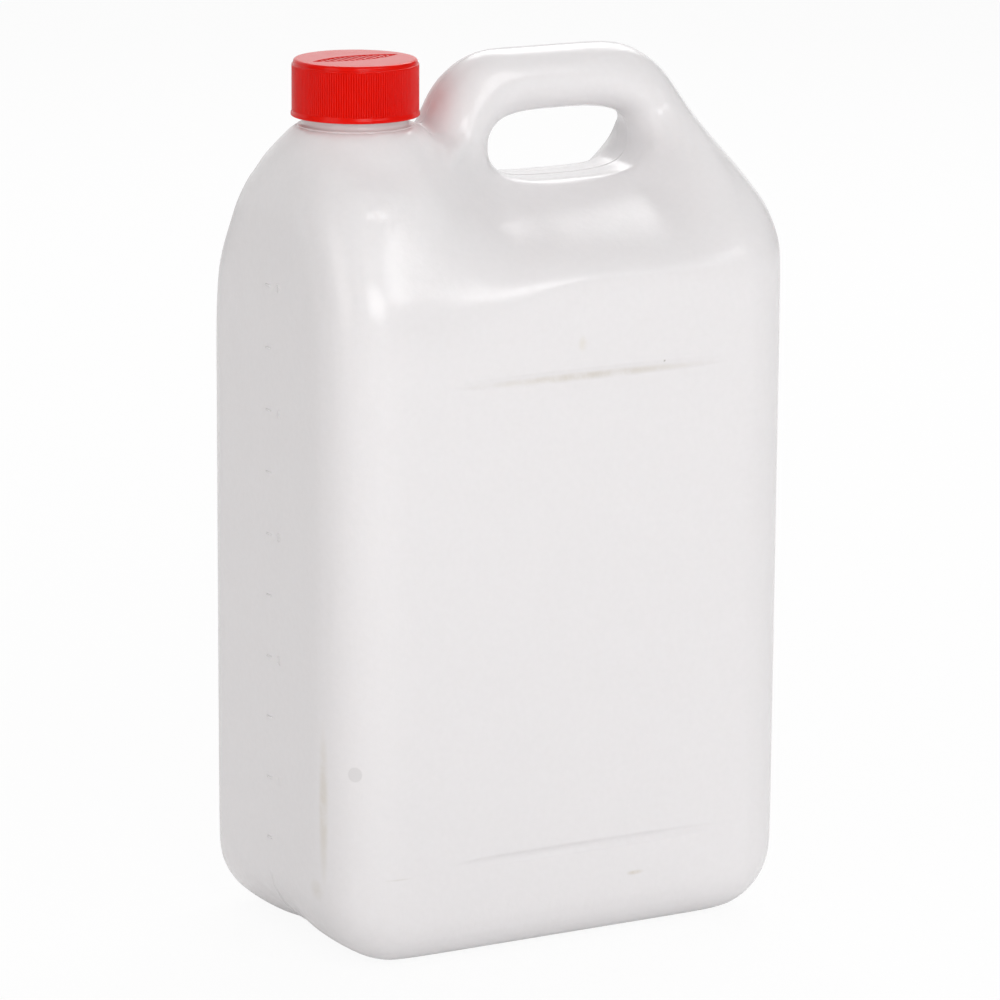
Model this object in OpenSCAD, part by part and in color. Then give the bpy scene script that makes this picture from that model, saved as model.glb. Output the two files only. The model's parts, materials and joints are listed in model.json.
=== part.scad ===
// Five litre jerrycan, blow moulded in one piece with a hollow handle, and its
// screw cap with a sealing wad. X runs along the broad face, with the neck at
// -X, the broad faces look along -Y and +Y, and Z is up from the ground.

/* [Body] */
// Length of the can along its broad face
body_length = 190; // [170:1:220]
// Depth of the can between its two broad faces
body_depth = 120; // [100:1:150]
// Radius of the four upright corners, seen from above
upright_radius = 22; // [12:1:26]
// Radius of the bottom corners, seen from the broad side
bottom_radius = 28.5; // [18:0.5:38]
// Radius where the broad faces turn into the base
base_edge_radius = 18; // [8:1:30]
// Thickness of the blown wall
wall = 1.2; // [1:0.1:2.4]

/* [Shoulders] */
// Height at which the shoulder on the neck side starts to lean in
neck_shoulder_height = 264; // [260:1:268]
// Radius of the bend at the top of the neck side wall
neck_shoulder_radius = 110; // [40:5:120]
// Height at which the shoulder on the handle side starts to lean in
back_shoulder_height = 272; // [255:1:280]
// Radius of the bend at the top of the handle side wall
back_shoulder_radius = 60; // [20:1:70]
// Height at which the broad face starts to curve in below the neck
neck_roof_start = 227; // [220:1:245]
// Height at which the broad face starts to curve in below the grip
grip_roof_start = 248; // [235:1:255]
// Height at which the broad face starts to curve in at the back shoulder
back_roof_start = 246; // [230:1:250]
// Height at which that curve reaches the handle
back_roof_top = 318; // [300:1:320]
// Height of the shell's top under the neck's flange
deck_height = 297; // [292:0.5:298]

/* [Handle] */
// Height of the top of the handle
handle_height = 325.2; // [318:0.1:335]
// Distance from the neck's axis to the foot of the handle
handle_gap = 26; // [24:0.5:32]
// How far the handle's end beside the neck leans over towards its top
handle_lean = 12.5; // [4:0.5:18]
// Distance from the back wall to the end of the handle's straight top
handle_setback = 34; // [28:0.5:46]
// Radius of the handle's bend beside the neck
handle_left_radius = 29; // [12:1:32]
// Radius of the handle's bend above the back shoulder
handle_right_radius = 36; // [10:1:38]
// Thickness of the handle across the can
handle_thickness = 25; // [20:1:32]

/* [Grip hole] */
// Distance from the handle's foot to the grip hole
grip_start = 25.7; // [23:0.1:30]
// Distance from the grip hole to the back wall
grip_setback = 40.4; // [36:0.1:50]
// Height of the grip hole's middle
grip_z = 289.7; // [286:0.1:292]
// Height of the grip hole
grip_opening = 24.4; // [18:0.1:28]
// How square the grip hole's ends are, where 2 is an ellipse
grip_squareness = 3.2; // [2:0.1:5]
// Radius of the shell's edge along the bottom of the grip hole
grip_edge_radius = 5; // [3:0.5:8]
// Radius of the shell's edge round the ends of the grip hole
grip_end_radius = 11; // [6:0.5:12]

/* [Base] */
// Depth of the recess along the pinched seam, between the two feet
recess_depth = 1.8; // [0.5:0.1:4]
// Width of that recess from foot to foot
recess_width = 34; // [20:1:44]

/* [Face details] */
// Height of the upper groove on each broad face
upper_groove_height = 215; // [190:1:225]
// Height of the lower groove on each broad face
lower_groove_height = 38; // [34:0.5:60]
// Middle of each groove along the can
groove_middle = 5; // [0:0.5:10]
// Length of each groove
groove_length = 114; // [60:1:130]
// Width of each groove
groove_width = 5; // [3:0.5:10]
// Depth of each groove
groove_depth = 0.8; // [0.4:0.1:1.5]
// Number of level marks on the narrow face below the neck
mark_count = 10; // [4:1:10]
// Distance between two level marks
mark_pitch = 22.9; // [18:0.1:23.2]
// Height of the lowest level mark
lowest_mark = 39.7; // [35:0.1:42]
// Length of a level mark
mark_length = 3.6; // [2:0.1:8]
// How far a level mark stands out of the wall
mark_height = 0.4; // [0.2:0.05:0.6]

/* [Neck] */
// Distance of the neck's axis from the narrow wall beside it
neck_inset = 35.5; // [34.5:0.5:40]
// Radius of the neck's wall under its thread
neck_radius = 19; // [16:0.1:20]
// Thickness of the neck's wall
neck_wall = 2; // [1.6:0.1:3]
// Height of the flange that carries the neck
flange_height = 301.8; // [299:0.1:302.5]
// Radius of that flange
flange_radius = 24.6; // [23:0.1:25]
// Height of the flange's upright edge
flange_edge = 0.8; // [0.6:0.1:3]
// How much wider than the flange its flare is where it sinks into the shoulder
flare_width = 6.5; // [2:0.1:7]
// Height of the neck above its flange
neck_height = 20.7; // [19:0.1:24]
// Pitch of the screw thread
thread_pitch = 5; // [4:0.5:6]
// How far the thread stands out of the neck
thread_depth = 1.3; // [0.8:0.1:1.6]
// Turns of thread on the neck
thread_turns = 1.75; // [1.25:0.25:2]

/* [Cap] */
// Outer radius of the cap over its ribs
cap_radius = 23; // [22.4:0.1:25]
// Height of the cap
cap_height = 20.4; // [18:0.1:21]
// Thickness of the cap's top
cap_top = 1.9; // [1.4:0.1:3]
// Number of grip ribs around the cap
rib_count = 160; // [60:4:176]
// How far the grip ribs stand out
rib_depth = 0.35; // [0.2:0.05:0.7]
// Height of the smooth bead round the cap's lower edge
bead_height = 1.6; // [1:0.1:3]
// How far that bead stands out past the ribs
bead_size = 0.3; // [0.1:0.05:0.5]
// Height of the smooth rim above the ribs
cap_rim = 1.8; // [1.2:0.1:3]
// Width of the sunk panel on the cap's top
panel_width = 9; // [6:0.5:14]
// Length of that panel
panel_length = 34; // [20:1:36]
// Depth of that panel
panel_depth = 0.4; // [0.2:0.05:0.6]
// Thickness of the sealing wad
wad_thickness = 1; // [0.6:0.1:1.6]
// Gap between the wad and the neck's rim, and between the wad and the cap
seat_gap = 0.1; // [0:0.05:0.3]
// Gap between the wad and the cap's wall
wad_gap = 0.4; // [0.2:0.05:0.8]
// Gap between the cap's thread and the neck's
thread_gap = 0.35; // [0.25:0.05:0.5]

/* [Hidden] */

// Steps of the shell's mesh along the outline's corners and across the shell
outer_steps = [6, 4, 10, 4];
inner_steps = [3, 2, 5, 2];
roof_wall = 3.8;
round_steps = 36;
neck_x = neck_inset - body_length / 2;
handle_left = neck_x + handle_gap;
handle_right = body_length / 2 - handle_setback;
grip_length = body_length / 2 - grip_setback - handle_left - grip_start;
grip_x = handle_left + grip_start + grip_length / 2;
half_depth = body_depth / 2;
neck_top = flange_height + neck_height;
thread_radius = neck_radius + thread_depth;
cap_base = neck_top + wad_thickness + seat_gap + cap_top - cap_height;
cap_bore = thread_radius + thread_gap;
cap_skin = cap_radius - rib_depth;
thread_steps = 20;
thread_start = neck_top - 3 - thread_turns * thread_pitch;
panel_offset = (pow(panel_length / 2, 2) - pow(panel_width / 2, 2)) / panel_width;

function unit(v) = v / norm(v);
function mix(a, b, t) = a * (1 - t) + b * t;
function clamp(t) = min(max(t, 0), 1);
function ease(t) = let (c = clamp(t)) c * c * (3 - 2 * c);

// The outline of the mould's parting face as [x, z, radius, corner steps, side
// steps], clockwise from the handle's bend beside the neck
function outline_corners(n) = [
    [handle_left + handle_lean, handle_height, handle_left_radius, ceil(n * 4 / 3), 3],
    [handle_right, handle_height, handle_right_radius, n, 3],
    [body_length / 2, back_shoulder_height, back_shoulder_radius, n, 6],
    [body_length / 2, 0, bottom_radius, n, 4],
    [-body_length / 2, 0, bottom_radius, n, 6],
    [-body_length / 2, neck_shoulder_height, neck_shoulder_radius, n, 1],
    [neck_x - flange_radius, deck_height, 7, 3, n],
    [handle_left, deck_height, 3, 2, 3],
];

// One rounded corner of an outline, as pairs of a point and its inward normal
function corner_points(a, p, b, r, n) =
    let (u = unit(a - p), v = unit(b - p), half = acos(u * v) / 2,
         side = sign(cross(u, v)), middle = p + unit(u + v) * r / sin(half),
         start = p + u * r / tan(half) - middle, first = atan2(start[1], start[0]))
    [for (k = [0:n]) let (t = first - side * (180 - 2 * half) * k / n, d = [cos(t), sin(t)])
        [middle + r * d, -side * d]];

// Points along a straight side, closer together towards its higher end
function side_points(a, b, n) =
    let (up = b[0][1] > a[0][1], steep = abs(b[0][1] - a[0][1]) > abs(b[0][0] - a[0][0]))
    [for (k = [1:1:n]) let (t = k / (n + 1), bent = up ? 1 - pow(1 - t, 2) : t * t)
        [mix(a[0], b[0], steep ? bent : t), b[1]]];

function outline(n) =
    let (c = outline_corners(n), count = len(c), place = [for (p = c) [p[0], p[1]]],
         arcs = [for (i = [0:count - 1]) let (before = place[(i + count - 1) % count])
             corner_points(before, place[i], place[(i + 1) % count], c[i][2], c[i][3])])
    [for (i = [0:count - 1]) let (arc = arcs[i], next = arcs[(i + 1) % count])
        each concat(arc, side_points(arc[len(arc) - 1], next[0], c[i][4]))];

// The grip hole's edge point towards p, with the normal that leads into the shell
function grip_point(p) =
    let (c = [grip_x, grip_z], d = unit(p - c), n = grip_squareness,
         a = grip_length / 2, b = grip_opening / 2,
         r = pow(pow(abs(d[0]) / a, n) + pow(abs(d[1]) / b, n), -1 / n), q = r * d)
    [c + q, unit([sign(q[0]) * pow(abs(q[0]) / a, n - 1) / a, sign(q[1]) * pow(abs(q[1]) / b, n - 1) / b])];

// Half the can's depth at a place on the parting face. Above the broad faces
// it falls along a roof, high at the neck, low under the grip and high again
// at the back shoulder, down to the handle's own thickness.
function to_neck(x) = 1 - ease((x - neck_x) / (handle_left + 34 - neck_x));
function to_back(x) = ease((x - grip_x - 20) / (body_length / 2 - grip_x - 34));
function roof_foot(x) =
    grip_roof_start + to_neck(x) * (neck_roof_start - grip_roof_start)
    + to_back(x) * (back_roof_start - grip_roof_start);
function roof(x, z) =
    let (to_neck = to_neck(x), to_back = to_back(x), foot = roof_foot(x),
         sill = grip_z - grip_opening / 2,
         top = sill + to_neck * (deck_height - sill) + to_back * (back_roof_top - sill),
         thin = mix(handle_thickness / 2, flange_radius, to_neck),
         drop = (top - z) / (top - foot), t = min((drop + norm([drop, 0.13])) / 2, 1),
         straight = clamp(0.5 + 0.5 * to_back - 0.5 * to_neck),
         rise = mix(sin(90 * t), ease(t), straight))
    thin + (half_depth - thin) * rise;

// How much of the seam's recess a place on the outline has
function recess_share(p, normal) = ease(normal[1] * 1.6 - 0.1) * (p[1] < grip_z / 2 ? 1 : 0);

// The points of one section from the outline to the grip hole, as [x, y, z]. The
// cavity's roof stays lower by roof_wall, so that its slopes keep their wall too.
function section(edge, inset, steps) =
    let (grip = grip_point(edge[0]), n = edge[1], m = grip[1],
         o = edge[0] + n * inset, h = grip[0] + m * inset, span = norm(o - h),
         depth_at = function (p) roof(p[0], p[1] + roof_wall * inset) - inset,
         low = ease((grip_z - edge[0][1]) / grip_z * 2 - 1),
         full = mix(upright_radius, base_edge_radius, low * abs(n[1])),
         ro = min(full - inset, 0.45 * span, 0.9 * depth_at(o)),
         rh = min(mix(grip_end_radius, grip_edge_radius, ease(-m[1])), 0.45 * span),
         flat = depth_at(o) - ro,
         dip = recess_depth * recess_share(o, n),
         foot = min(recess_width / 2 - inset, flat),
         start = o + n * ro, end = h + m * rh, flat_rows = floor(steps[2] / 5),
         climb = max(end[1] - start[1], 1), near = clamp((roof_foot(end[0]) - start[1]) / climb),
         bend = min(max(flat_rows / steps[2],
             (roof_foot(mix(start[0], end[0], near)) - start[1]) / climb), 0.9),
         across = concat(
             [[o + n * dip, 0], [o + n * dip, foot * 0.55], [o, foot]],
             [for (k = [0:steps[1]]) let (a = 90 * k / steps[1], p = o + n * ro * (1 - cos(a)))
                 [p, depth_at(p) - ro * (1 - sin(a))]],
             [for (k = [1:steps[2] - 1])
                 let (t = k < flat_rows ? bend * k / flat_rows
                          : mix(bend, 1, (k - flat_rows) / (steps[2] - flat_rows)),
                      p = mix(start, end, t)) [p, depth_at(p)]],
             [for (k = [steps[3]:-1:0]) let (a = 90 * k / steps[3], p = h + m * rh * (1 - cos(a)))
                 [p, depth_at(p) - rh * (1 - sin(a))]],
             [[h, 0]]),
         last = len(across) - 1, centre = mix(o, h, 0.5), bulge = depth_at(centre),
         tube = [for (k = [0:last]) let (a = 180 * k / last) [mix(o, h, (1 - cos(a)) / 2), bulge * sin(a)]],
         body = ease((span - 25) / 24))
    [for (k = [0:last]) let (p = mix(tube[k][0], across[k][0], body))
        [p[0], -mix(tube[k][1], across[k][1], body), p[1]]];

// The blown shell without its neck: sections set in a ring round the grip hole
module shell(inset, steps) {
    ring = [for (edge = outline(steps[0])) section(edge, inset, steps)];
    count = len(ring);
    rows = len(ring[0]);
    size = 2 * rows - 2;
    points = [for (s = ring) each concat(
        s, [for (k = [rows - 2:-1:1]) [s[k][0], -s[k][1], s[k][2]]])];
    faces = [for (i = [0:count - 1], k = [0:size - 1]) let (
        a = i * size + k, b = i * size + (k + 1) % size,
        c = ((i + 1) % count) * size + (k + 1) % size, d = ((i + 1) % count) * size + k)
        each norm(points[a] - points[c]) < norm(points[b] - points[d])
            ? [[a, c, b], [a, d, c]] : [[a, d, b], [b, d, c]]];
    polyhedron(points, faces, convexity = 8);
}

// The flange that carries the neck, flared into the shoulder, with the neck's tube
module neck_form() {
    translate([neck_x, 0, 0])
        rotate_extrude($fn = round_steps)
            polygon([
                [0, deck_height - 12], [flange_radius + flare_width, deck_height - 12],
                [flange_radius, flange_height - flange_edge], [flange_radius, flange_height - 0.5],
                [flange_radius - 0.5, flange_height], [neck_radius + 0.5, flange_height],
                [neck_radius, flange_height + 0.5], [neck_radius, neck_top - 0.4],
                [neck_radius - 0.4, neck_top], [0, neck_top],
            ]);
}

// The way through the neck into the cavity, widened under the flange
module neck_way() {
    translate([neck_x, 0, 0])
        rotate_extrude($fn = round_steps)
            polygon([
                [0, deck_height - 14], [flange_radius + flare_width - 2 * wall, deck_height - 14],
                [flange_radius - 2 * wall, flange_height - flange_edge - wall],
                [neck_radius - neck_wall, flange_height - wall],
                [neck_radius - neck_wall, neck_top + 1], [0, neck_top + 1],
            ]);
}

// A screw ridge on a radius, standing out by depth, or inwards where depth is
// negative. Its ends run out into the wall.
module screw_ridge(radius, depth, turns, start) {
    count = ceil(turns * thread_steps);
    sunk = -0.6 * sign(depth);
    foot = thread_pitch * 0.24;
    tip = thread_pitch * 0.12;
    points = [for (i = [0:count]) let (
        a = 360 * i / thread_steps, z = start + thread_pitch * i / thread_steps,
        out = ease(min(i, count - i) / thread_steps * 6), c = [cos(a), sin(a)],
        chord = depth < 0 ? cos(180 / thread_steps) : 1,
        r = (radius + depth * out - 0.15 * sign(depth) * (1 - out)) / chord,
        root = (radius + sunk) / chord)
        each [
            [each c * root, z - foot], [each c * r, z - mix(foot, tip, out)],
            [each c * r, z + mix(foot, tip, out)], [each c * root, z + foot],
        ]];
    sides = [for (i = [0:count - 1], k = [0:3]) let (
        a = 4 * i + k, b = 4 * i + (k + 1) % 4, c = b + 4, d = a + 4)
        each depth > 0 ? [[a, b, c], [a, c, d]] : [[a, c, b], [a, d, c]]];
    last = 4 * count;
    ends = depth > 0
        ? [[3, 2, 1, 0], [last, last + 1, last + 2, last + 3]]
        : [[0, 1, 2, 3], [last + 3, last + 2, last + 1, last]];
    translate([neck_x, 0, 0])
        polyhedron(points, concat(sides, ends), convexity = 6);
}

// The two long grooves pressed into each broad face, moved in by inset
module face_grooves(inset) {
    for (side = [-1, 1], z = [lower_groove_height, upper_groove_height])
        translate([groove_middle, side * (half_depth - inset - groove_depth), z])
            rotate([-side * 90, 0, 0])
                hull()
                    for (end = [-1, 1])
                        translate([end * (groove_length - groove_width) / 2, 0, 0])
                            cylinder(r1 = groove_width / 6, r2 = groove_width / 2 + groove_width / 3,
                                     h = 2 * groove_depth, $fn = 12);
}

// Short raised strokes up the narrow face below the neck
module level_marks() {
    for (i = [0:mark_count - 1])
        translate([-body_length / 2, 0, lowest_mark + i * mark_pitch])
            rotate([90, 0, 0])
                cylinder(r = mark_height, h = mark_length, center = true, $fn = 6);
}

module can() {
    color("whitesmoke")
        difference() {
            union() {
                shell(0, outer_steps);
                neck_form();
                screw_ridge(neck_radius, thread_depth, thread_turns, thread_start);
                level_marks();
            }
            difference() {
                shell(wall, inner_steps);
                face_grooves(wall);
            }
            neck_way();
            face_grooves(0);
        }
}

// Ribbed outline of the cap's skirt
module rib_outline() {
    polygon([for (i = [0:2 * rib_count - 1]) let (
        a = 180 * i / rib_count, r = i % 2 == 0 ? cap_skin : cap_radius)
        r * [cos(a), sin(a)]]);
}

module cap() {
    color("red")
        union() {
            translate([neck_x, 0, cap_base])
                difference() {
                    union() {
                        rotate_extrude()
                            polygon([
                                [0, 0], [cap_skin + bead_size, 0], [cap_radius + bead_size, 0.4],
                                [cap_radius + bead_size, bead_height - 0.4],
                                [cap_radius + 0.1, bead_height], [0, bead_height],
                            ]);
                        translate([0, 0, bead_height])
                            linear_extrude(height = cap_height - bead_height - cap_rim)
                                rib_outline();
                        translate([0, 0, cap_height - cap_rim])
                            rotate_extrude()
                                polygon([
                                    [0, 0], [cap_skin - 0.1, 0], [cap_skin - 0.1, cap_rim - 0.9],
                                    [cap_skin - 0.4, cap_rim - 0.25], [cap_skin - 1, cap_rim], [0, cap_rim],
                                ]);
                    }
                    translate([0, 0, -1])
                        cylinder(r = cap_bore, h = cap_height - cap_top + 1);
                    top_panel();
                }
            screw_ridge(cap_bore, neck_radius - cap_bore + thread_gap,
                        thread_turns, thread_start - thread_pitch / 2);
        }
}

// A shallow lens-shaped panel sunk into the cap's top
module top_panel() {
    translate([0, 0, cap_height - panel_depth])
        intersection_for (side = [-1, 1])
            translate([0, side * panel_offset, 0])
                cylinder(r = panel_width / 2 + panel_offset, h = panel_depth + 1);
}

module sealing_wad() {
    color("lightgray")
        translate([neck_x, 0, neck_top + seat_gap])
            cylinder(r = cap_bore - wad_gap, h = wad_thickness - seat_gap);
}

can();
cap();
sealing_wad();
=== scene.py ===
"""A jerrycan of milky polyethylene with a hollow handle and a red ribbed screw cap.

Lengths are in metres unless a name or comment says mm. The can stands on z = 0, its broad
faces look along y, and its neck stands at the -x end.
"""

import json
import math

import bmesh
import bpy
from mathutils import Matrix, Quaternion, Vector

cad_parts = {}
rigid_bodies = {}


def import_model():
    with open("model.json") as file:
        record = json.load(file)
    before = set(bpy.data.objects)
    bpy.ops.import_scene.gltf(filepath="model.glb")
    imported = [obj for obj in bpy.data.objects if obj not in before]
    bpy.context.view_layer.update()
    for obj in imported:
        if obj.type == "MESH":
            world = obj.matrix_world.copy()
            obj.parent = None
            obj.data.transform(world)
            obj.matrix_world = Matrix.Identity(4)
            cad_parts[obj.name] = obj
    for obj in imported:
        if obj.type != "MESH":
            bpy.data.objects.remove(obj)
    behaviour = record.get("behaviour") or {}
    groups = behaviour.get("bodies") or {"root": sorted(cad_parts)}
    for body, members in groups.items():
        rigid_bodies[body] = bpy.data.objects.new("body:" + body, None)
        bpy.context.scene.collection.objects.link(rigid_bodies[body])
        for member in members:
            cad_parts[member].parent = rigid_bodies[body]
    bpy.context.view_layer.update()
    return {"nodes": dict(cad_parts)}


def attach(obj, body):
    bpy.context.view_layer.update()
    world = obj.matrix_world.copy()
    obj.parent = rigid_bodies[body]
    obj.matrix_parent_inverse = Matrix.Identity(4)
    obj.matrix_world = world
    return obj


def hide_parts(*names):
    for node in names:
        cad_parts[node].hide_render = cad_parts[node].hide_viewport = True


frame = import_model()

MM = 0.001
NECK_X = -59.5 * MM
NECK = Vector((NECK_X, 0, 0))
NECK_FOOT = 301.2 * MM
CAP_BASE = 305.0 * MM
CAP_TOP = 325.4 * MM
CAP_BORE = 20.65 * MM
HALF_LENGTH = 95 * MM
HALF_DEPTH = 60 * MM

# The long grooves of the broad faces, the lower one first.
GROOVE_HEIGHTS = (38 * MM, 215 * MM)
GROOVE_WIDTHS = (2.1 * MM, 2.3 * MM)
GROOVE_DEPTHS = (1.0 * MM, 0.8 * MM)
GROOVE_MIDDLE = 5 * MM
GROOVE_LENGTH = 114 * MM

# The strokes of the level scale, half a litre apart, and the litre figures beside them.
LOWEST_MARK = 39.7 * MM
MARK_PITCH = 22.9 * MM
MARK_COUNT = 10
MARK_RADIUS = 0.38 * MM
MARK_LENGTH = 3.6 * MM
FIGURE_SIZE = 4.6 * MM
FIGURE_HEIGHT = 0.2 * MM
FIGURE_OFFSET = 7.6 * MM

# The shell's remesh and the parting line on it.
REMESH_SIZE = 1.75 * MM
SEAM_RADIUS = 0.17 * MM

# The neck's thread: a bead on a path round the neck, which sinks into the wall at its ends.
THREAD_TURNS = 1.75
THREAD_PITCH = 5.0 * MM
THREAD_START = 310.75 * MM
THREAD_STEPS = 40
THREAD_RADIUS = 1.1 * MM
THREAD_SUNK_PATH = 17.9 * MM
THREAD_RISE = 1.2 * MM
THREAD_RUNOUT = 6

# The ribs round the cap, the columns of faces in each, and the valleys' share of the radius.
CAP_RIBS = 160
RIB_COLUMNS = 4
RIB_VALLEY = 0.985

# The sunk lens in the cap's top and the bars in it.
LENS_LENGTH = 36.5 * MM
LENS_WIDTH = 11 * MM
LENS_DEPTH = 0.4 * MM
LENS_TURN = math.radians(5)
BAR_COUNT = 13
BAR_STEP = 2.3 * MM
BAR_WIDTH = 1.1 * MM


# Helpers for modelling.


def take(obj):
    """Leaves this object alone selected and active."""
    bpy.ops.object.select_all(action="DESELECT")
    obj.select_set(True)
    bpy.context.view_layer.objects.active = obj


def edit(obj):
    """Opens an object in edit mode with nothing selected."""
    take(obj)
    bpy.ops.object.mode_set(mode="EDIT")
    bpy.ops.mesh.select_all(action="DESELECT")


def done():
    """Leaves edit mode."""
    bpy.ops.object.mode_set(mode="OBJECT")


def pick_verts(obj, test):
    """Selects the vertices at which the test holds."""
    bpy.ops.mesh.select_mode(type="VERT")
    mesh = bmesh.from_edit_mesh(obj.data)
    bpy.ops.mesh.select_all(action="DESELECT")
    for vert in mesh.verts:
        vert.select = bool(test(vert.co))
    mesh.select_flush_mode()
    bmesh.update_edit_mesh(obj.data)


def pick_faces(obj, test):
    """Selects the faces whose middle passes the test."""
    bpy.ops.mesh.select_mode(type="FACE")
    mesh = bmesh.from_edit_mesh(obj.data)
    for face in mesh.faces:
        face.select = bool(test(face.calc_center_median()))
    bmesh.update_edit_mesh(obj.data)


def join(parts):
    """Joins the parts into the first of them."""
    bpy.ops.object.select_all(action="DESELECT")
    for part in parts:
        part.select_set(True)
    bpy.context.view_layer.objects.active = parts[0]
    bpy.ops.object.join()
    return parts[0]


def finish_piece(obj, name, material, body, angle=None):
    """Names a piece, gives it its finish and lets it ride on its body.

    Edges sharper than the angle, in degrees, stay sharp; without one all is smooth.
    """
    take(obj)
    bpy.ops.object.transform_apply(location=True, rotation=True, scale=True)
    obj.name = obj.data.name = name
    obj.data.materials.clear()
    obj.data.materials.append(material)
    if angle is None:
        bpy.ops.object.shade_smooth()
    else:
        bpy.ops.object.shade_smooth_by_angle(angle=math.radians(angle))
    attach(obj, body)
    return obj


def apply_modifier(obj, kind, **settings):
    """Adds a modifier with these settings and applies it."""
    take(obj)
    modifier = obj.modifiers.new(kind.lower(), kind)
    for key, value in settings.items():
        setattr(modifier, key, value)
    bpy.ops.object.modifier_apply(modifier=modifier.name)


def in_mm(pairs):
    """Turns pairs of radius and height in mm into metres."""
    return [(radius * MM, height * MM) for radius, height in pairs]


def draw_up(radius, height, profile):
    """Draws the selected ring up along a profile, given as pairs of radius and height."""
    for wider, higher in profile:
        bpy.ops.mesh.extrude_region_move(
            TRANSFORM_OT_translate={"value": (0, 0, higher - height)}
        )
        bpy.ops.transform.resize(
            value=(wider / radius, wider / radius, 1), center_override=(NECK_X, 0, higher)
        )
        radius, height = wider, higher


def turn_up(radius, height, profile, steps):
    """A form turned on the neck's axis from a ring and a profile; it is left in edit mode."""
    bpy.ops.mesh.primitive_circle_add(
        vertices=steps, radius=radius, fill_type="NOTHING", location=(NECK_X, 0, height)
    )
    obj = bpy.context.object
    bpy.ops.object.transform_apply(location=True)
    bpy.ops.object.mode_set(mode="EDIT")
    bpy.ops.mesh.select_all(action="SELECT")
    draw_up(radius, height, profile)
    return obj


def ease(t):
    """From 0 to 1 with a soft start and end."""
    t = min(max(t, 0), 1)
    return t * t * (3 - 2 * t)


def push_out(skin, how_far):
    """Moves vertices out along their normals, as far as how_far says; None leaves one."""
    mesh = bmesh.from_edit_mesh(skin.data)
    mesh.normal_update()
    moves = [(vert, how_far(vert)) for vert in mesh.verts]
    for vert, out in moves:
        if out is not None:
            vert.co += vert.normal * out
    bmesh.update_edit_mesh(skin.data)


# Finishes.


class Finish:
    """A small helper that lays out the nodes of one material."""

    def __init__(self, name):
        self.material = bpy.data.materials.new(name)
        self.material.use_nodes = True
        self.tree = self.material.node_tree
        self.shader = self.tree.nodes["Principled BSDF"]
        self.place = self.node("ShaderNodeTexCoord").outputs["Object"]

    def node(self, kind, **settings):
        """Adds a node with these settings."""
        made = self.tree.nodes.new(kind)
        for key, value in settings.items():
            setattr(made, key, value)
        return made

    def link(self, a, b):
        """Links an output to an input."""
        self.tree.links.new(a, b)

    def noise(self, scale, detail, roughness=0.5):
        """A noise over the object's own coordinates."""
        made = self.node("ShaderNodeTexNoise")
        made.inputs["Scale"].default_value = scale
        made.inputs["Detail"].default_value = detail
        made.inputs["Roughness"].default_value = roughness
        self.link(self.place, made.inputs["Vector"])
        return made.outputs["Fac"]

    def spread(self, value, low, high, out_low, out_high):
        """Maps low to high onto out_low to out_high, softly at both ends."""
        made = self.node("ShaderNodeMapRange", interpolation_type="SMOOTHSTEP")
        for key, number in zip(
            ("From Min", "From Max", "To Min", "To Max"), (low, high, out_low, out_high)
        ):
            made.inputs[key].default_value = number
        self.link(value, made.inputs["Value"])
        return made.outputs["Result"]

    def maths(self, operation, a, b):
        """The sum, product or the like of two outputs or numbers."""
        made = self.node("ShaderNodeMath", operation=operation)
        for socket, value in zip(made.inputs, (a, b)):
            if isinstance(value, (int, float)):
                socket.default_value = value
            else:
                self.link(value, socket)
        return made.outputs[0]

    def mix(self, share, a, b):
        """Mixes two colours; inputs 6 and 7 and output 2 are the node's colour sockets."""
        made = self.node("ShaderNodeMix", data_type="RGBA")
        sockets = (made.inputs[0], made.inputs[6], made.inputs[7])
        for socket, value in zip(sockets, (share, a, b)):
            if isinstance(value, (int, float)):
                socket.default_value = value
            elif isinstance(value, tuple):
                socket.default_value = (*value, 1)
            else:
                self.link(value, socket)
        return made.outputs[2]

    def near(self, point, radius, blur):
        """One within radius of a point, falling to nothing over blur."""
        away = self.node("ShaderNodeVectorMath", operation="DISTANCE")
        self.link(self.place, away.inputs[0])
        away.inputs[1].default_value = point
        return self.spread(away.outputs["Value"], radius, radius + blur, 1, 0)

    def patch(self, place, reach):
        """One at a place given in mm, falling to nothing at its reach along each axis."""
        mapping = self.node("ShaderNodeMapping")
        mapping.inputs["Scale"].default_value = [1 / (r * MM) for r in reach]
        mapping.inputs["Location"].default_value = [-p / r for p, r in zip(place, reach)]
        self.link(self.place, mapping.inputs["Vector"])
        away = self.node("ShaderNodeVectorMath", operation="LENGTH")
        self.link(mapping.outputs["Vector"], away.inputs[0])
        return self.spread(away.outputs["Value"], 0.15, 1, 1, 0)

    def bumps(self, *layers):
        """Lays bumps over each other, each given as height, depth and strength."""
        normal = None
        for height, depth, strength in layers:
            made = self.node("ShaderNodeBump")
            made.inputs["Distance"].default_value = depth
            made.inputs["Strength"].default_value = strength
            self.link(height, made.inputs["Height"])
            if normal:
                self.link(normal, made.inputs["Normal"])
            normal = made.outputs["Normal"]
        self.link(normal, self.shader.inputs["Normal"])


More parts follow.
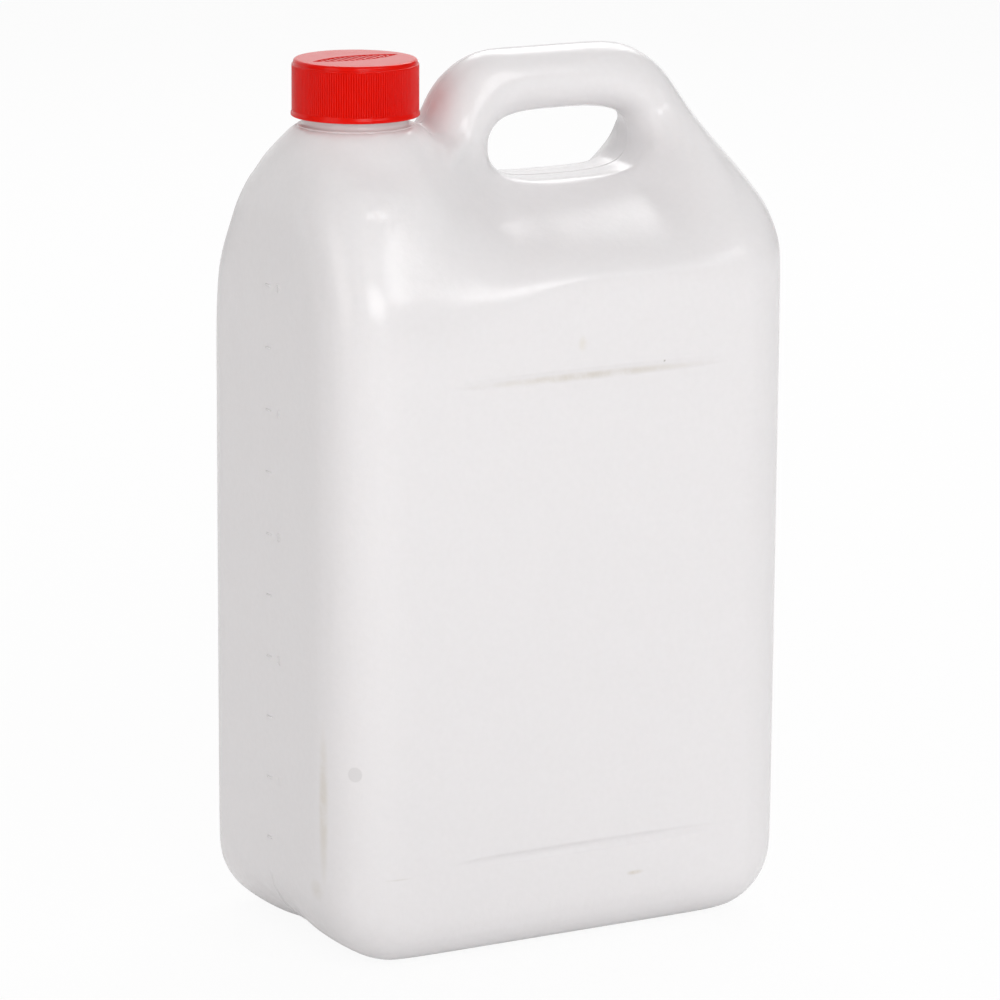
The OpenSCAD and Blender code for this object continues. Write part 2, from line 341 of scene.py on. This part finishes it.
def milky_polyethylene():
    """Natural blown polyethylene: milky and satin, with a fine orange peel, old stains and a
    painted shade along the upper groove.
    """
    f = Finish("milky_polyethylene")
    colour = f.mix(f.noise(420, 2), (0.84, 0.825, 0.834), (0.81, 0.796, 0.803))
    ragged = f.spread(f.noise(120, 4, 0.6), 0.3, 0.6, 0.3, 1)
    # Each stain, and the painted shade along the upper groove: its place in mm, its reach in
    # mm along x, y and z, its share and its tint.
    stains_and_groove_shade = [
        ((-94, -41, 62), (3, 3.5, 36), 0.5, (0.66, 0.61, 0.52)),
        ((-95, -36, 29), (4, 6, 5), 0.4, (0.66, 0.62, 0.55)),
        # Along the upper groove: a darker band of painted shade standing in for the groove's
        # own shadow, with a faint brownish dirt tint.
        ((5, -60, 214.2), (62, 5, 2.0), 0.7, (0.66, 0.62, 0.56)),
        ((1.1, -60, 226), (2.6, 2, 4), 0.4, (0.72, 0.68, 0.58)),
        ((35.5, -60, 216.6), (0.7, 1, 0.7), 0.9, (0.4, 0.38, 0.35)),
        ((25.7, -60, 24.9), (4.5, 3, 1.2), 0.6, (0.62, 0.56, 0.46)),
        ((-74, -60, 36), (8, 3, 0.5), 0.35, (0.66, 0.64, 0.6)),
    ]
    for place, reach, share, tint in stains_and_groove_shade:
        patch = f.maths("MULTIPLY", f.patch(place, reach), ragged)
        colour = f.mix(f.maths("MULTIPLY", patch, share), colour, tint)
    ejector = f.near((-89.1 * MM, -54.6 * MM, 75.7 * MM), 3.0 * MM, 0.5 * MM)
    colour = f.mix(f.maths("MULTIPLY", ejector, 0.3), colour, (0.55, 0.54, 0.54))
    f.link(colour, f.shader.inputs["Base Color"])
    f.link(f.spread(f.noise(500, 1), 0.3, 0.7, 0.21, 0.26), f.shader.inputs["Roughness"])
    f.shader.inputs["IOR"].default_value = 1.5
    f.shader.inputs["Subsurface Weight"].default_value = 0.1
    f.shader.inputs["Subsurface Radius"].default_value = (1.0, 0.9, 0.85)
    f.shader.inputs["Subsurface Scale"].default_value = 0.008
    f.bumps((f.noise(420, 2, 0.6), 0.0004, 0.12), (f.noise(60, 2, 0.5), 0.001, 0.12))
    return f.material


def red_cap_plastic():
    """Red moulded polypropylene: strong even red, satin, with a faint grain."""
    f = Finish("red_cap_plastic")
    colour = f.mix(f.noise(40, 0), (0.71, 0.0035, 0.0005), (0.77, 0.006, 0.001))
    f.link(colour, f.shader.inputs["Base Color"])
    f.link(f.spread(f.noise(200, 3), 0.3, 0.7, 0.17, 0.22), f.shader.inputs["Roughness"])
    f.shader.inputs["IOR"].default_value = 1.27
    f.bumps((f.noise(700, 2, 0.5), 0.0001, 0.15))
    return f.material


def foam_wad():
    """Off-white foam, matt and finely porous."""
    f = Finish("foam_wad")
    colour = f.mix(f.noise(300, 2), (0.8, 0.8, 0.78), (0.88, 0.88, 0.86))
    f.link(colour, f.shader.inputs["Base Color"])
    f.shader.inputs["Roughness"].default_value = 0.7
    f.bumps((f.noise(1500, 2, 0.6), 0.0001, 0.5))
    return f.material


milk, red, foam = milky_polyethylene(), red_cap_plastic(), foam_wad()


# The can.


def blown_skin():
    """The can's outside: a merged copy of the CAD can without its inside and its neck.

    Its flat faces are cleared and it is rounded by subdivision. A fine remesh lays it out
    evenly, and it is smoothed where it runs up to the flange under the cap.
    """
    skin = frame["nodes"]["can"].copy()
    skin.data = skin.data.copy()
    bpy.context.scene.collection.objects.link(skin)
    skin.parent = None
    for key in list(skin.keys()):
        del skin[key]
    take(skin)
    bpy.ops.mesh.customdata_custom_splitnormals_clear()
    edit(skin)
    bpy.ops.mesh.select_all(action="SELECT")
    bpy.ops.mesh.remove_doubles(threshold=0.01 * MM)
    pick_faces(skin, lambda co: (co - NECK).xy.length < 24.3 * MM and co.z > 298.5 * MM)
    bpy.ops.mesh.delete(type="FACE")
    pick_verts(skin, lambda co: co.x > HALF_LENGTH - 0.01 * MM)
    bpy.ops.mesh.select_linked()
    bpy.ops.mesh.select_all(action="INVERT")
    bpy.ops.mesh.delete(type="VERT")

    def broad(side):
        """A test for the flat of one broad face and the floors of its grooves."""

        def test(co):
            beside_groove = min(abs(co.z - height) for height in GROOVE_HEIGHTS) < 4.6 * MM
            in_groove = beside_groove and abs(co.x - GROOVE_MIDDLE) < 65 * MM
            slack = (1.0 if in_groove else 0.03) * MM
            return side * co.y > HALF_DEPTH - slack

        return test

    for flat in (broad(-1), broad(1), lambda co: co.x < -HALF_LENGTH + 0.1 * MM):
        pick_faces(skin, flat)
        bpy.ops.mesh.dissolve_faces()
        bpy.ops.mesh.inset(thickness=2.5 * MM, depth=0)
    bpy.ops.mesh.select_all(action="SELECT")
    bpy.ops.mesh.tris_convert_to_quads(
        face_threshold=math.radians(40), shape_threshold=math.radians(60)
    )
    bpy.ops.mesh.select_mode(type="EDGE")
    bpy.ops.mesh.select_all(action="DESELECT")
    bpy.ops.mesh.select_non_manifold()
    bpy.ops.mesh.edge_face_add()
    done()
    apply_modifier(skin, "SUBSURF", levels=2, render_levels=2)
    apply_modifier(skin, "REMESH", mode="VOXEL", voxel_size=REMESH_SIZE)
    apply_modifier(skin, "SMOOTH", factor=0.5, iterations=3)

    edit(skin)
    # Each round: its lowest height and its reach from the neck's axis in mm, and its repeats.
    for lowest, reach, repeat in ((272, 46, 4), (280, 38, 24)):
        pick_verts(
            skin,
            lambda co: lowest * MM < co.z < 303 * MM
            and 22 * MM < (co - NECK).xy.length < reach * MM
            and co.x < -34 * MM,
        )
        bpy.ops.mesh.vertices_smooth(factor=0.5, repeat=repeat)
    pick_faces(skin, lambda co: (co - NECK).xy.length < 18.4 * MM and co.z > 296 * MM)
    bpy.ops.mesh.delete(type="FACE")
    fill_neck_shoulder(skin)
    round_grip_shelf(skin)
    press_grooves(skin)
    done()
    return skin


def fill_neck_shoulder(skin):
    """Swells the shoulder between the neck and its narrow face, which is full and round."""

    def swell(vert):
        x, z = vert.co.x / MM, vert.co.z / MM
        away = (vert.co - NECK).xy.length / MM
        if x > -34 or away < 22 or not 255 < z < 303:
            return None
        height = ease((z - 255) / 25) * (1 - ease((z - 286) / 17))
        beside = ease((-34 - x) / 18) * ease((away - 22) / 6)
        return 2.2 * height * beside * MM

    push_out(skin, swell)


def round_grip_shelf(skin):
    """Fills out the shoulder under the grip to a rounded shelf."""

    def swell(vert):
        x, y, z = vert.co.x / MM, abs(vert.co.y) / MM, vert.co.z / MM
        if not (11 < y < 58 and 253 < z < 292 and -40 < x < 75 and vert.normal.z > 0.12):
            return None
        fold = -16.5 - 9.2 * min(max((y - 30) / 28, 0), 1) ** 2
        across = math.sin(math.pi * ((y - 11) / 47) ** 0.6)
        shelf = ease((x - fold) / 22) * (1 - ease((x - 34) / 34))
        return 1.9 * shelf * across * MM

    push_out(skin, swell)


def press_grooves(skin):
    """Presses the long grooves into the broad faces, running out at their ends."""
    half = GROOVE_LENGTH / 2
    pick_faces(
        skin,
        lambda co: abs(co.y) > HALF_DEPTH - 0.5 * MM
        and abs(co.x - GROOVE_MIDDLE) < half + 2 * MM
        and min(abs(co.z - height) for height in GROOVE_HEIGHTS) < 3.5 * MM,
    )
    bpy.ops.mesh.subdivide(number_cuts=2)
    mesh = bmesh.from_edit_mesh(skin.data)
    for vert in mesh.verts:
        co = vert.co
        if abs(co.y) < HALF_DEPTH - 0.5 * MM:
            continue
        along = abs(co.x - GROOVE_MIDDLE) / half
        if along >= 1:
            continue
        for height, width, depth in zip(GROOVE_HEIGHTS, GROOVE_WIDTHS, GROOVE_DEPTHS):
            reach = width * (1 - along**4) ** 0.5
            across = abs(co.z - height) / reach
            if across < 1:
                sunk = depth * (1 - along**4) * (1 - across**2) ** 1.5
                co.y -= math.copysign(sunk, co.y)
    bmesh.update_edit_mesh(skin.data)


def mould_seam(skin):
    """The mould's parting line: a fine raised thread on the handle, the back and the base.

    On the narrow walls it is pressed flat, so that it doesn't stand out past the can.
    """
    seam = skin.copy()
    seam.data = skin.data.copy()
    bpy.context.scene.collection.objects.link(seam)
    edit(seam)
    bpy.ops.mesh.select_all(action="SELECT")
    bpy.ops.mesh.bisect(plane_co=(0, 0.01 * MM, 0), plane_no=(0, 1, 0))
    bpy.ops.mesh.select_mode(type="EDGE")
    bpy.ops.mesh.select_all(action="INVERT")
    bpy.ops.mesh.delete(type="EDGE")
    pick_verts(seam, lambda co: (co - NECK).xy.length < 22 * MM and co.z > 290 * MM)
    bpy.ops.mesh.delete(type="VERT")
    pick_verts(seam, lambda co: co.x < -62 * MM and 30 * MM < co.z < 300 * MM)
    bpy.ops.mesh.delete(type="VERT")
    done()
    apply_modifier(seam, "SMOOTH", factor=0.5, iterations=2)
    take(seam)
    bpy.ops.object.convert(target="CURVE")
    seam = bpy.context.object
    seam.data.bevel_depth = SEAM_RADIUS
    seam.data.bevel_resolution = 1
    bpy.ops.object.convert(target="MESH")
    edit(seam)
    for side in (-1, 1):
        wall = side * (HALF_LENGTH - 0.4 * MM)
        pick_verts(seam, lambda co: side * co.x > side * wall)
        bpy.ops.transform.resize(value=(0, 1, 1), center_override=(wall, 0, 0))
    done()
    finish_piece(seam, "mould_seam", milk, "can", 60)


def level_marks():
    """Ten strokes up the narrow face, with a plain litre figure beside every second one."""
    parts = []
    for i in range(MARK_COUNT):
        height = LOWEST_MARK + i * MARK_PITCH
        bpy.ops.mesh.primitive_cylinder_add(
            vertices=12,
            radius=MARK_RADIUS,
            depth=MARK_LENGTH,
            location=(-HALF_LENGTH, 0, height),
            rotation=(math.radians(90), 0, 0),
        )
        stroke = bpy.context.object
        bpy.ops.object.transform_apply()
        apply_modifier(stroke, "BEVEL", width=0.1 * MM, segments=2, limit_method="ANGLE")
        parts.append(stroke)
        if i % 2:
            bpy.ops.object.text_add()
            figure = bpy.context.object
            figure.data.body = str((i + 1) // 2)
            figure.data.align_x = "CENTER"
            figure.data.size = FIGURE_SIZE
            figure.data.extrude = FIGURE_HEIGHT
            figure.data.bevel_depth = 0.04 * MM
            take(figure)
            bpy.ops.object.convert(target="MESH")
            figure = bpy.context.object
            figure.rotation_euler = (math.radians(90), 0, math.radians(-90))
            figure.location = (-HALF_LENGTH, -FIGURE_OFFSET, height - 1.6 * MM)
            bpy.ops.object.transform_apply()
            parts.append(figure)
    finish_piece(join(parts), "level_marks", milk, "can", 40)


def screw_neck():
    """The neck with its flange's top, its bore and its lip."""
    neck = turn_up(
        21.2 * MM,
        NECK_FOOT,
        in_mm([
            (20.9, 301.7), (20.3, 301.85), (19.7, 301.95), (19.3, 302.2), (19.05, 302.7),
            (19, 303.5), (19, 321.8), (18.8, 322.3), (18.4, 322.5), (17.5, 322.5),
            (17.1, 322.3), (17, 321.8), (17, 301), (17.6, 299.4), (22, 294), (26, 284),
        ]),
        160,
    )
    done()
    finish_piece(neck, "neck", milk, "can", 40)


def screw_thread():
    """One raised thread up the neck, its ends running out into the wall."""
    curve = bpy.data.curves.new("neck_thread", "CURVE")
    curve.dimensions = "3D"
    curve.bevel_depth = THREAD_RADIUS
    curve.bevel_resolution = 4
    spline = curve.splines.new("POLY")
    count = int(THREAD_TURNS * THREAD_STEPS)
    spline.points.add(count)
    for i, point in enumerate(spline.points):
        angle = 2 * math.pi * i / THREAD_STEPS
        out = min(i, count - i, THREAD_RUNOUT) / THREAD_RUNOUT
        radius = THREAD_SUNK_PATH + THREAD_RISE * out
        point.co = (
            NECK_X + radius * math.cos(angle),
            radius * math.sin(angle),
            THREAD_START + THREAD_PITCH * i / THREAD_STEPS,
            1,
        )
    made = bpy.data.objects.new("neck_thread", curve)
    bpy.context.scene.collection.objects.link(made)
    take(made)
    bpy.ops.object.convert(target="MESH")
    finish_piece(bpy.context.object, "neck_thread", milk, "can", 60)


# The cap and its wad.


def screw_cap():
    """A turned shell with a flared bead below, fine ribs round it and a smooth rim."""
    columns = CAP_RIBS * RIB_COLUMNS
    cap = turn_up(
        CAP_BORE,
        CAP_BASE,
        in_mm([
            (23.1, 305.0), (23.3, 305.2), (23.3, 305.7), (23.2, 306.2), (22.98, 306.7),
            (22.95, 307.0), (22.95, 307.2), (22.95, 322.9), (22.95, 323.2), (22.9, 323.5),
            (22.75, 323.65), (22.45, 323.7), (22.4, 323.8), (22.4, 324.3), (22.3, 324.75),
            (22.1, 325.05), (21.8, 325.28), (21.4, 325.38), (21, 325.4),
            (17, 325.4), (12, 325.4), (6, 325.4), (2, 325.4),
        ]),
        columns,
    )
    bpy.ops.mesh.edge_face_add()
    pick_verts(
        cap,
        lambda co: abs(co.z - CAP_BASE) < 0.02 * MM
        and (co - NECK).xy.length < CAP_BORE + 0.05 * MM,
    )
    inside = [(20.65, 323.0), (20.2, 323.5), (14, 323.5), (6, 323.5), (2, 323.5)]
    draw_up(CAP_BORE, CAP_BASE, in_mm(inside))
    bpy.ops.mesh.edge_face_add()

    def valley(co):
        """A test for the innermost column of each rib, between the bead and the rim."""
        if not 307.1 * MM < co.z < 323.0 * MM or (co - NECK).xy.length < 22 * MM:
            return False
        turn = math.atan2(co.y, co.x - NECK_X) / (2 * math.pi) * columns
        return round(turn) % RIB_COLUMNS == 0

    pick_verts(cap, valley)
    bpy.ops.transform.resize(
        value=(RIB_VALLEY, RIB_VALLEY, 1), center_override=(NECK_X, 0, 315 * MM)
    )
    bpy.ops.mesh.select_all(action="SELECT")
    bpy.ops.mesh.normals_make_consistent(inside=False)
    done()
    lens = top_lens()
    apply_modifier(cap, "BOOLEAN", operation="DIFFERENCE", solver="EXACT", object=lens)
    bpy.data.objects.remove(lens)
    piece = finish_piece(cap, "screw_cap", red, "cap", 38)
    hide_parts("cap")


def top_lens():
    """The shape of the sunk lens in the cap's top: where two wide discs overlap."""
    offset = ((LENS_LENGTH / 2) ** 2 - (LENS_WIDTH / 2) ** 2) / LENS_WIDTH
    discs = []
    for side in (-1, 1):
        bpy.ops.mesh.primitive_cylinder_add(
            vertices=256,
            radius=offset + LENS_WIDTH / 2,
            depth=2 * MM,
            location=(
                NECK_X - side * offset * math.sin(LENS_TURN),
                side * offset * math.cos(LENS_TURN),
                CAP_TOP - LENS_DEPTH + 1 * MM,
            ),
        )
        bpy.ops.object.transform_apply()
        discs.append(bpy.context.object)
    apply_modifier(discs[0], "BOOLEAN", operation="INTERSECT", solver="EXACT", object=discs[1])
    bpy.data.objects.remove(discs[1])
    return discs[0]


def lens_bars():
    """A plain row of raised bars across the sunk lens, longer towards its middle."""
    along = Vector((math.cos(LENS_TURN), math.sin(LENS_TURN), 0))
    lens_floor = CAP_TOP - LENS_DEPTH
    bars = []
    for i in range(BAR_COUNT):
        shift = (i - (BAR_COUNT - 1) / 2) * BAR_STEP
        room = LENS_WIDTH * (1 - (2 * shift / LENS_LENGTH) ** 2) - 2.6 * MM
        if room < 1 * MM:
            continue
        bpy.ops.mesh.primitive_cube_add(
            size=1, location=NECK + along * shift + Vector((0, 0, lens_floor + 0.1 * MM))
        )
        bar = bpy.context.object
        bar.scale = (BAR_WIDTH, room, 0.5 * MM)
        bar.rotation_euler.z = LENS_TURN
        bpy.ops.object.transform_apply()
        apply_modifier(bar, "BEVEL", width=0.15 * MM, segments=2)
        bars.append(bar)
    finish_piece(join(bars), "cap_top_bars", red, "cap", 40)


def wad():
    """The sealing disc under the cap's roof."""
    bpy.ops.mesh.primitive_cylinder_add(
        vertices=128, radius=20.25 * MM, depth=0.88 * MM, location=(NECK_X, 0, 323.05 * MM)
    )
    made = bpy.context.object
    apply_modifier(made, "BEVEL", width=0.2 * MM, segments=3)
    piece = finish_piece(made, "cap_liner", foam, "wad", 40)
    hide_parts("sealing_wad")


skin = blown_skin()
mould_seam(skin)
finish_piece(skin, "can_skin", milk, "can")
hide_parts("can")
screw_neck()
screw_thread()
level_marks()
screw_cap()
lens_bars()
wad()


# The studio.


def camera():
    """A long lens from the can's front left, a little above it."""
    target = Vector((0, 0, 0.1329))
    azimuth, pitch, distance = math.radians(-29.472), math.radians(13.562), 1.987
    back = Vector((
        math.sin(azimuth) * math.cos(pitch),
        -math.cos(azimuth) * math.cos(pitch),
        math.sin(pitch),
    ))
    data = bpy.data.cameras.new("camera")
    data.sensor_width, data.lens = 36, 192.27
    data.shift_x, data.shift_y = 0.0033, 0.062
    data.clip_start, data.clip_end = 0.05, 60
    made = bpy.data.objects.new("camera", data)
    bpy.context.scene.collection.objects.link(made)
    made.rotation_mode = "QUATERNION"
    made.location = target + back * distance
    made.rotation_quaternion = (-back).to_track_quat("-Z", "Y")
    made.rotation_quaternion.rotate(Quaternion(back, math.radians(0.372)))
    bpy.context.scene.camera = made


def lamp(name, place, aim, size, watts, colour=(1, 1, 1)):
    """A rectangular soft lamp at a place, turned to its aim."""
    data = bpy.data.lights.new(name, "AREA")
    data.shape = "RECTANGLE"
    data.size, data.size_y = size
    data.energy, data.color = watts, colour
    made = bpy.data.objects.new(name, data)
    bpy.context.scene.collection.objects.link(made)
    made.location = place
    made.rotation_mode = "QUATERNION"
    made.rotation_quaternion = (Vector(aim) - Vector(place)).to_track_quat("-Z", "Y")


def cards():
    """A pale floor and backdrop that run off into white."""
    for name, place, turn, shine in (
        ("floor", (0, 0, 0), 0, 0.25),
        ("backdrop", (0, 5, 6.9), math.radians(90), 1.0),
    ):
        f = Finish("pale_" + name)
        f.shader.inputs["Base Color"].default_value = (0.92, 0.92, 0.92, 1)
        f.shader.inputs["Roughness"].default_value = 0.8
        glow = f.node("ShaderNodeEmission")
        ray = f.node("ShaderNodeLightPath")
        blend = f.node("ShaderNodeMixShader")
        seen = f.maths("MULTIPLY", ray.outputs["Is Camera Ray"], 0.93)
        glossy = f.maths(
            "MAXIMUM", ray.outputs["Is Glossy Ray"], ray.outputs["Is Transmission Ray"]
        )
        mirrored = f.maths("MULTIPLY", glossy, shine)
        f.link(f.maths("MAXIMUM", seen, mirrored), blend.inputs[0])
        f.link(f.shader.outputs[0], blend.inputs[1])
        f.link(glow.outputs[0], blend.inputs[2])
        f.link(blend.outputs[0], f.tree.nodes["Material Output"].inputs["Surface"])
        bpy.ops.mesh.primitive_plane_add(size=14, location=place, rotation=(turn, 0, 0))
        card = bpy.context.object
        card.name = name
        card.data.materials.append(f.material)


def sky():
    """Soft light from all round, dim in the gloss of the pieces and white to the camera."""
    world = bpy.data.worlds.new("studio")
    bpy.context.scene.world = world
    world.use_nodes = True
    nodes, links = world.node_tree.nodes, world.node_tree.links
    ray = nodes.new("ShaderNodeLightPath")
    soft = nodes["Background"]
    soft.inputs["Color"].default_value = (1, 0.985, 0.98, 1)
    soft.inputs["Strength"].default_value = 0.48
    shown = soft.outputs[0]
    for kind, strength in (("Is Glossy Ray", 0.2), ("Is Camera Ray", 1.0)):
        mix = nodes.new("ShaderNodeMixShader")
        other = nodes.new("ShaderNodeBackground")
        other.inputs["Strength"].default_value = strength
        links.new(ray.outputs[kind], mix.inputs[0])
        links.new(shown, mix.inputs[1])
        links.new(other.outputs[0], mix.inputs[2])
        shown = mix.outputs[0]
    links.new(shown, nodes["World Output"].inputs["Surface"])


def lamps():
    """Two lamps before the can, one behind it and one beside its narrow face."""
    lamp("key", (-0.5, -2.1, 1.1), (0, 0, 0.15), (0.9, 0.9), 13.5)
    lamp("gloss", (0.7, -2.0, 1.45), (0, 0, 0.2), (0.85, 0.75), 8.6)
    lamp("back", (1.0, 1.25, 1.7), (0, 0, 0.28), (1.7, 1.2), 20)
    lamp("side", (-1.9, -0.6, 0.8), (0, 0, 0.15), (0.9, 1.2), 5.5, (1, 0.96, 0.94))


camera()
cards()
sky()
lamps()
bpy.context.scene.view_settings.view_transform = "Standard"
